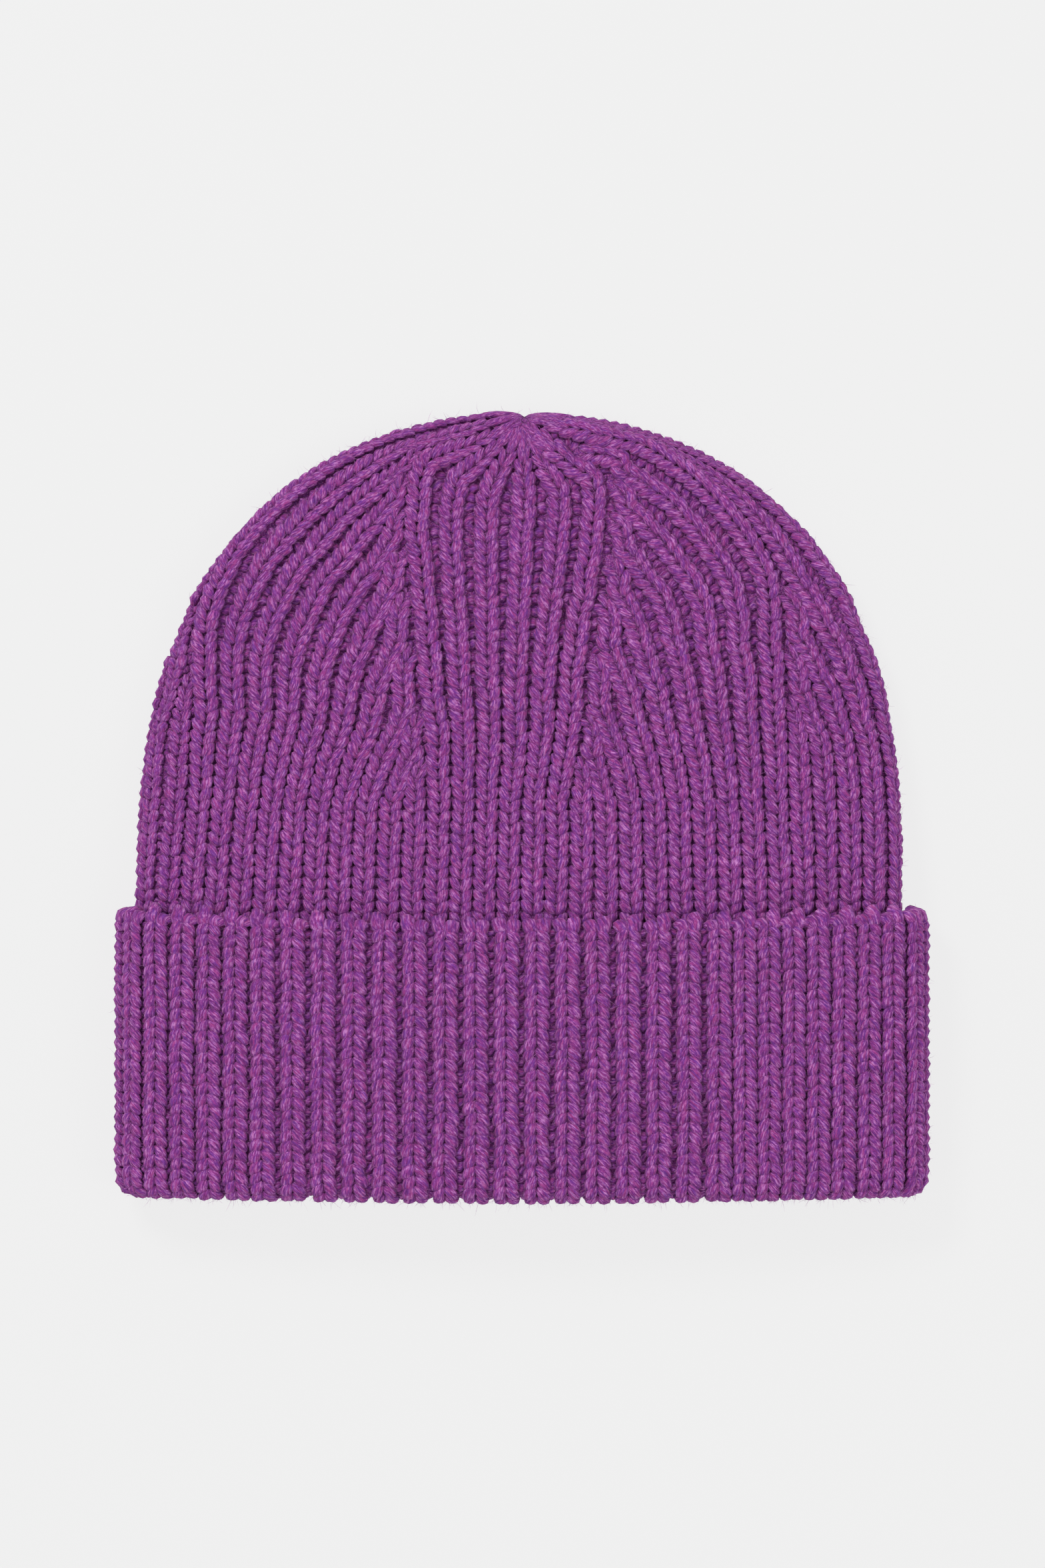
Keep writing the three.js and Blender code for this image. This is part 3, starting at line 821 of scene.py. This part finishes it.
# The strands that are drawn together at the top: how far back they start, and their least and most
# lift, half width and share of that reach
GATHER = {"reach": 10.0, "shares": (0.75, 1.25), "side": 1.2, "lift": (0.8, 1.5), "width": (0.9, 1.2)}
GATHER_DEPTH_SHARE = 0.85
GATHER_SWELL = {"share": [0.0, 0.1, 0.4, 0.8, 1.0], "swell": [0.0, 0.6, 1.0, 0.75, 0.0]}
GATHER_LAYERS = 3
KNOT_AHEAD, KNOT_RISE = 0.6, 0.8  # of the gather's point, past the last row and towards the front
KNOT_SAMPLES = 64


def add_gather(yarn, sheet, ribs):
    """A strand from each rib that reaches the top, all of them drawn together in one point."""
    edge = np.linspace(0, 2, KNOT_SAMPLES, endpoint=False)
    points, _ = sheet.look(np.full(KNOT_SAMPLES, CROWN_LAST), edge)
    knot = points.mean(0)
    knot[1] = points[:, 1].max() + KNOT_AHEAD
    knot[2] += KNOT_RISE
    shares = np.linspace(0, 1, yarn.rings)
    swell = np.interp(shares, GATHER_SWELL["share"], GATHER_SWELL["swell"])[None]
    pull = (shares**3)[:, None]
    for rib in ribs * GATHER_LAYERS:
        reach = GATHER["reach"] * rng.uniform(*GATHER["shares"])
        along = rib.lengths[-1] - reach * (1 - shares)
        across = rng.uniform(-GATHER["side"], GATHER["side"]) * (1 - shares)
        lift = np.full(yarn.rings, rng.uniform(*GATHER["lift"]))
        centres = rib.place(sheet, along, across, lift)
        above = rib.place(sheet, along, across, lift + PROBE)
        ends = (centres * (1 - pull) + knot * pull)[None]
        widths = rng.uniform(*GATHER["width"]) * swell
        points = tube(yarn, ends, (above - centres)[None], widths, GATHER_DEPTH_SHARE * swell)
        yarn.add(points, grain_of(yarn, ends, 1.0), rng.uniform(0, 1, 1))


# Loose fibres. Their turn away from the strand is in radians, and their curl, droop and lift off it are
# shares of their length.
HAIR_FLOOR = 0.05  # no loose fibre reaches lower than this
HAIR_TURN, HAIR_TURN_SPREAD = 0.25, 0.55
HAIR_CURL, HAIR_DROOP = 0.35, 0.1
HAIR_ROLL = 0.4
HAIR_STEPS = (0.0, 0.55, 1.0)
ROOT_DEPTH = 0.05
LOWER_SIDE = 0.25  # weight of the strand's lower side when roots are drawn
RIM_SLOPE = 0.3  # the rim's fibres point towards the front less than this
FIBRE_LENGTHS, RIM_LENGTHS = (0.8, 2.2), (0.8, 2.0)
FIBRE_LIFT, RIM_LIFT = 0.35, 0.8
FINE, COARSE = 0.045, 0.05  # widths


class Hair:
    """Loose fibres that stand off the yarn, as one mesh of thin blades that end in a point."""

    def __init__(self):
        self.blades = []
        self.tones = []

    def add(self, yarn, count, width, at_rim):
        """Grows fibres from the upper side of the strands of a mesh of yarn. at_rim keeps those that
        point sideways, where the beanie's outline is."""
        strands = np.concatenate(yarn.strands)
        strand = rng.integers(0, len(strands), count)
        ring = rng.integers(1, yarn.rings - 1, count)
        side = rng.choice(yarn.sides, count, p=self.upper(yarn))
        root = strands[strand, ring, side]
        middle = strands[strand, ring].mean(1)
        out = unit(root - middle)
        along = unit(strands[strand, ring + 1].mean(1) - strands[strand, ring - 1].mean(1))
        along *= rng.choice([-1, 1], count)[:, None]
        sideways = np.cross(along, out)
        turn = rng.normal(HAIR_TURN, HAIR_TURN_SPREAD, count)[:, None]
        heading = along * np.cos(turn) + sideways * np.sin(turn)
        heading += out * np.abs(rng.normal(0, RIM_LIFT if at_rim else FIBRE_LIFT, count))[:, None]
        bend = rng.normal(0, HAIR_CURL, (count, 3)) - HAIR_DROOP * out
        length = rng.uniform(*(RIM_LENGTHS if at_rim else FIBRE_LENGTHS), count)[:, None]
        foot, knee, tip = [
            root - ROOT_DEPTH * out + length * (heading * t + bend * t * t) for t in HAIR_STEPS
        ]
        flat = unit(np.cross(heading, out + rng.normal(0, HAIR_ROLL, (count, 3)))) * width / 2
        blade = np.stack([foot - flat, foot + flat, knee - flat, knee + flat, tip], 1)
        kept = out[:, 2] < RIM_SLOPE if at_rim else np.full(count, True)
        self.blades.append(blade[kept])
        self.tones.append(rng.uniform(0, 1, kept.sum()))

    @staticmethod
    def upper(yarn):
        weights = LOWER_SIDE + np.clip(np.cos(yarn.angles), 0, 1)
        return weights / weights.sum()

    def mesh(self, name):
        blades = np.concatenate(self.blades)
        tones = np.concatenate(self.tones)
        kept = blades[:, :, 2].min(1) > HAIR_FLOOR
        blades = blades[kept]
        starts = np.arange(len(blades))[:, None] * 5
        quads = starts + np.array([0, 1, 3, 2])
        tris = starts + np.array([2, 3, 4])
        made = mesh_of(name, blades.reshape(-1, 3), tris, quads)
        store(made.data, "tone", "FLOAT", np.repeat(tones[kept], 5))
        return made


# The pieces

def dress(piece, cad_node, material):
    """Gives a piece its material, hides the CAD node that it replaces and attaches it to the root body.
    """
    piece.data.materials.append(material)
    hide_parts(cad_node)
    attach(piece, "root")


# tone of the knit behind the stitches, set below most strands': painted shade in the gaps between
# stitches
BACKING_SHADED_TONE = 0.8
BACKING_FACES = [(-0.1, 0.85), (-1.1, 0.6)]  # middle height and ripple of the outer and inner face
BACKING_COLUMNS = RIB_COUNT * 4
backing_turns = np.arange(BACKING_COLUMNS) * 2 / BACKING_COLUMNS


def add_backing(name, sheet, stations, phases, cad_node, material):
    """The knit behind the stitches: a closed skin, rippled like the ribs on both of its faces. phases
    holds the rib count up to each turn, a row for each station."""
    columns = phases.shape[1]
    turns = np.arange(columns) * 2 / columns
    wave = np.cos(2 * math.pi * phases)
    skins = [
        [sheet.point(np.full(columns, station), turns, height + ripple * row)
         for station, row in zip(stations, wave)]
        for height, ripple in BACKING_FACES
    ]
    points = np.array(skins).reshape(-1, 3)
    rows = len(stations)
    inner = rows * columns
    j = np.arange(columns)
    k = (j + 1) % columns
    top = (rows - 1) * columns
    quads = [
        np.stack([inner + j, inner + k, k, j], 1),
        np.stack([top + j, top + k, inner + top + k, inner + top + j], 1),
    ]
    for i in range(rows - 1):
        low, high = i * columns, (i + 1) * columns
        quads.append(np.stack([low + j, low + k, high + k, high + j], 1))
        quads.append(inner + np.stack([high + j, high + k, low + k, low + j], 1))
    piece = mesh_of(name, points, np.empty((0, 3), int), np.concatenate(quads))
    store(piece.data, "grain", "FLOAT_VECTOR", points)
    # painted shade: the backing's tone mixes it a little towards the shade colour
    store(piece.data, "tone", "FLOAT", np.full(len(points), BACKING_SHADED_TONE))
    dress(piece, cad_node, material)


def rib_phase(places):
    """How many ribs lie before each turn, from the ribs' places in order."""
    places = np.array(places)
    wrapped = np.concatenate([places - 2, places, places + 2])
    return np.interp(backing_turns, wrapped, np.arange(len(wrapped)))


# Materials

def feed(tree, made, inputs):
    """Links each input of a node to another node's output, or sets its value."""
    for key, value in inputs.items():
        if isinstance(value, bpy.types.NodeSocket):
            tree.links.new(value, made.inputs[key])
        else:
            made.inputs[key].default_value = value


def node(tree, kind, inputs, **settings):
    made = tree.nodes.new(kind)
    for key, value in settings.items():
        setattr(made, key, value)
    feed(tree, made, inputs)
    return made


def attribute(tree, name):
    return node(tree, "ShaderNodeAttribute", {}, attribute_name=name)


def ramp(tree, factor, stops):
    made = node(tree, "ShaderNodeValToRGB", {"Fac": factor})
    elements = made.color_ramp.elements
    while len(elements) < len(stops):
        elements.new(0.5)
    for element, (position, colour) in zip(elements, stops):
        element.position = position
        element.color = (*colour, 1)
    return made.outputs["Color"]


YARN_DEEP = (0.125, 0.016, 0.155)
YARN_BASE = (0.300, 0.043, 0.300)
YARN_LIGHT = (0.640, 0.255, 0.630)
YARN_SHADE = (0.190, 0.032, 0.230)
YARN_PINK = (0.420, 0.055, 0.260)
YARN_BLUE = (0.170, 0.040, 0.330)
HAIR_DARK = (0.340, 0.060, 0.340)
HAIR_LIGHT = (0.680, 0.300, 0.660)
PAPER_COLOUR = (0.08, 0.08, 0.08)
PAPER_GLOW = 0.796


def mixed(tree, factor, low, high, blend="MIX"):
    low, high = ((*colour, 1) if isinstance(colour, tuple) else colour for colour in (low, high))
    inputs = {0: factor, 6: low, 7: high}
    return node(tree, "ShaderNodeMix", inputs, data_type="RGBA", blend_type=blend).outputs[2]


def new_material(name):
    made = bpy.data.materials.new(name)
    made.use_nodes = True
    return made, made.node_tree


def yarn_material():
    """Heathered wool: fine fibres along the twisted yarn, some pinker and some bluer."""
    made, tree = new_material("heathered_yarn")
    tree.nodes.clear()
    grain = attribute(tree, "grain").outputs["Vector"]
    tone = attribute(tree, "tone").outputs["Fac"]

    def streaks(across, along, detail):
        scaled = node(
            tree, "ShaderNodeVectorMath", {0: grain, 1: (across, across, along)}, operation="MULTIPLY"
        )
        return node(
            tree,
            "ShaderNodeTexNoise",
            {"Vector": scaled.outputs["Vector"], "Scale": 1.0, "Detail": detail, "Roughness": 0.6},
        ).outputs["Fac"]

    fibres = streaks(2.7, 0.75, 3.0)
    hues = streaks(2.2, 0.5, 2.0)
    clumps = streaks(0.9, 0.3, 1.0)
    colour = ramp(tree, fibres, [(0.35, YARN_DEEP), (0.50, YARN_BASE), (0.66, YARN_LIGHT)])
    pinker = ramp(tree, hues, [(0.52, (0, 0, 0)), (0.68, (0.7, 0.7, 0.7))])
    bluer = ramp(tree, hues, [(0.32, (0.7, 0.7, 0.7)), (0.48, (0, 0, 0))])
    colour = mixed(tree, pinker, colour, YARN_PINK)
    colour = mixed(tree, bluer, colour, YARN_BLUE)
    shade = node(
        tree, "ShaderNodeMapRange", {"Value": clumps, 1: 0.3, 2: 0.7, 3: 0.86, 4: 1.10}
    ).outputs["Result"]
    colour = mixed(tree, 1.0, colour, shade, "MULTIPLY")
    # tone mixes the colour towards YARN_SHADE: partly random darker strands, partly painted shade at
    # strand ends, on the backing and on the purl bumps
    lit = node(tree, "ShaderNodeMapRange", {"Value": tone, 1: 0.1, 2: 0.9, 3: 0.0, 4: 1.0})
    colour = mixed(tree, lit.outputs["Result"], YARN_SHADE, colour)
    bump = node(tree, "ShaderNodeBump", {"Height": fibres, "Strength": 0.7, "Distance": 0.3 * MM})
    shader = node(
        tree,
        "ShaderNodeBsdfPrincipled",
        {
            "Base Color": colour,
            "Normal": bump.outputs["Normal"],
            "Roughness": 0.9,
            "Specular IOR Level": 0.25,
            "Sheen Weight": 0.12,
            "Sheen Roughness": 0.6,
            "Sheen Tint": (0.85, 0.55, 0.85, 1),
        },
    )
    node(tree, "ShaderNodeOutputMaterial", {"Surface": shader.outputs["BSDF"]})
    return made


def hair_material():
    made, tree = new_material("loose_fibres")
    tone = attribute(tree, "tone").outputs["Fac"]
    colour = ramp(tree, tone, [(0.0, HAIR_DARK), (1.0, HAIR_LIGHT)])
    inputs = {"Base Color": colour, "Roughness": 0.8, "Specular IOR Level": 0.2}
    feed(tree, tree.nodes["Principled BSDF"], inputs)
    return made


def paper_material():
    """Pale paper, lit so evenly that next to no shadow falls on it."""
    made, tree = new_material("pale_paper")
    feed(tree, tree.nodes["Principled BSDF"], {
        "Base Color": (*PAPER_COLOUR, 1),
        "Roughness": 1.0,
        "Specular IOR Level": 0.0,
        "Emission Color": (1, 1, 1, 1),
        "Emission Strength": PAPER_GLOW,
    })
    return made


# The scene

PHOTO_WIDTH_PX, PHOTO_HEIGHT_PX = 1568, 2352
CUFF_WIDTH_PX = 1225
PHOTO_MM = CUFF_WIDTH / CUFF_WIDTH_PX  # for each pixel, at the height of the beanie's widest part
WIDEST_LEVEL = 15
HAT_MIDDLE_PX = (783.5, 1210)
CAMERA_DISTANCE = 2600
FLOOR_HALF = 3  # metres, as are the places and sizes of the lights
WORLD_STRENGTH = 0.525
LIGHTS = [
    {"name": "key", "place": (-0.7, 0.95, 1.4), "size": 0.6, "power": 13},
    {"name": "fill", "place": (0.9, -0.4, 1.5), "size": 1.0, "power": 5},
]


def add_camera():
    data = bpy.data.cameras.new("camera")
    data.type = "PERSP"
    data.sensor_fit = "VERTICAL"
    height = PHOTO_HEIGHT_PX * PHOTO_MM
    data.angle_y = 2 * math.atan(height / 2 / CAMERA_DISTANCE)
    data.clip_end = 20
    camera = add_object("camera", data)
    x = (PHOTO_WIDTH_PX / 2 - HAT_MIDDLE_PX[0]) * PHOTO_MM
    y = (HAT_MIDDLE_PX[1] - PHOTO_HEIGHT_PX / 2) * PHOTO_MM
    camera.location = (x * MM, y * MM, (CAMERA_DISTANCE + WIDEST_LEVEL) * MM)
    bpy.context.scene.camera = camera


def add_light(name, place, size, power):
    data = bpy.data.lights.new(name, "AREA")
    data.shape = "DISK"
    data.size = size
    data.energy = power
    light = add_object(name, data)
    light.location = place
    light.rotation_euler = (-light.location).to_track_quat("-Z", "Y").to_euler()


def add_stage():
    data = bpy.data.meshes.new("floor")
    corners = [(x * FLOOR_HALF, y * FLOOR_HALF, 0) for x, y in ((-1, -1), (1, -1), (1, 1), (-1, 1))]
    data.from_pydata(corners, [], [(0, 1, 2, 3)])
    floor = add_object("floor", data)
    floor.data.materials.append(paper_material())
    world = bpy.data.worlds.new("soft_studio")
    bpy.context.scene.world = world
    world.use_nodes = True
    tree = world.node_tree
    feed(tree, tree.nodes["Background"], {"Color": (1, 1, 1, 1), "Strength": WORLD_STRENGTH})
    for light in LIGHTS:
        add_light(**light)


FIRST_ROW = 2.6  # from the free edge, under the ends of the loops over it
TURN_SHARE = 0.8  # of the turn at the mouth, which the outer stitches cover
INNER_END = 2  # left without stitches at the upper end inside the mouth
VALLEY_START, VALLEY_INSIDE = 0.6, 25  # the cuff's bumps start past its edge and end inside the mouth
SKIN_START, SKIN_INSIDE = 0.3, 6  # and so does the skin behind them
FIBRES = {  # the strands that they grow on, how many, their width, and whether they are the rim's
    "crown": [
        ("front", 16000, FINE, False),
        ("back", 5000, COARSE, False),
        ("front", 24000, COARSE, True),
    ],
    "cuff": [
        ("front", 12000, FINE, False),
        ("edge", 2000, FINE, False),
        ("front", 24000, COARSE, True),
        ("back", 4000, COARSE, False),
        ("inside", 2500, COARSE, False),
    ],
}


def build_fuzz(part, yarns, fibre):
    fuzz = Hair()
    for kind, count, width, at_rim in FIBRES[part]:
        fuzz.add(yarns[kind], count, width, at_rim)
    dress(fuzz.mesh(part + "_fuzz"), part, fibre)


def build_crown(crown, material, fibre):
    ribs, valleys = crown_lines(crown)
    front, back = Yarn(7, 7), Yarn(5, 6)
    reaching = []
    for number, rib in ribs.items():
        yarn = front if number < HALF_TURN + 1 else back
        top = rib.lengths[-1]
        gather = None
        if rib.stations[-1] == CROWN_LAST:
            gather = top
            reaching.append(rib)
        add_stitches(yarn, crown, rib, row_starts(CROWN_ROW, 0, top, gather))
    dress(front.mesh("crown_front_ribs"), "crown", material)
    dress(back.mesh("crown_back_ribs"), "crown", material)

    gathered = Yarn(8, 8)
    add_gather(gathered, crown, reaching)
    dress(gathered.mesh("gathered_top"), "crown", material)

    bumps = Yarn(5, 5)
    for valley in valleys.values():
        add_bumps(bumps, crown, valley, CROWN_ROW, 0, valley.lengths[-1])
    dress(bumps.mesh("crown_valleys"), "crown", material)
    build_fuzz("crown", {"front": front, "back": back}, fibre)


def build_cuff(cuff, material, fibre):
    ribs, valleys = cuff_lines(cuff)
    front, back, inside = Yarn(7, 8), Yarn(5, 6), Yarn(5, 6)
    for number, rib in ribs.items():
        yarn = front if number < CUFF_FRONT_RIBS else back
        start, turn = np.interp([0, STRAIGHT + TURN_LENGTH * TURN_SHARE], rib.stations, rib.lengths)
        outer_rows = row_starts(CUFF_ROW, start + FIRST_ROW, turn)
        middle = outer_rows[0][-1] + CUFF_ROW
        add_stitches(yarn, cuff, rib, outer_rows)
        add_stitches(inside, cuff, rib, row_starts(CUFF_ROW, middle, rib.lengths[-1] - INNER_END))
    dress(front.mesh("cuff_front_ribs"), "cuff", material)
    dress(back.mesh("cuff_back_ribs"), "cuff", material)
    dress(inside.mesh("inner_ribs"), "cuff", material)

    edge = Yarn(12, 8)
    add_edge(edge, cuff, ribs)
    dress(edge.mesh("cast_on_edge"), "cuff", material)

    bumps = Yarn(5, 5)
    ends = [0, STRAIGHT + TURN_LENGTH + VALLEY_INSIDE]
    for valley in valleys.values():
        low, high = np.interp(ends, valley.stations, valley.lengths)
        add_bumps(bumps, cuff, valley, CUFF_ROW, low + VALLEY_START, high)
    dress(bumps.mesh("cuff_valleys"), "cuff", material)
    build_fuzz("cuff", {"front": front, "back": back, "edge": edge, "inside": inside}, fibre)


def build_backings(crown, cuff, material):
    stations = np.linspace(CROWN_START, 1.0, 44)
    phases = np.array([rib_phase([place for _, place in ribs_at(at)]) for at in stations])
    add_backing("crown_backing", crown, stations, phases, "crown", material)

    stations = np.concatenate([
        np.linspace(SKIN_START, STRAIGHT, 16, endpoint=False),
        np.linspace(STRAIGHT, STRAIGHT + TURN_LENGTH + SKIN_INSIDE, 12),
    ])
    phases = np.tile(rib_phase(cuff_rib_turns()), (len(stations), 1))
    add_backing("cuff_backing", cuff, stations, phases, "cuff", material)


def main():
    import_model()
    bpy.context.scene.view_settings.view_transform = "Standard"
    add_camera()
    material = yarn_material()
    fibre = hair_material()

    crown = crown_sheet()
    cuff = cuff_sheet()
    settle(crown, cuff)
    build_crown(crown, material, fibre)
    build_cuff(cuff, material, fibre)
    build_backings(crown, cuff, material)

    add_stage()


main()
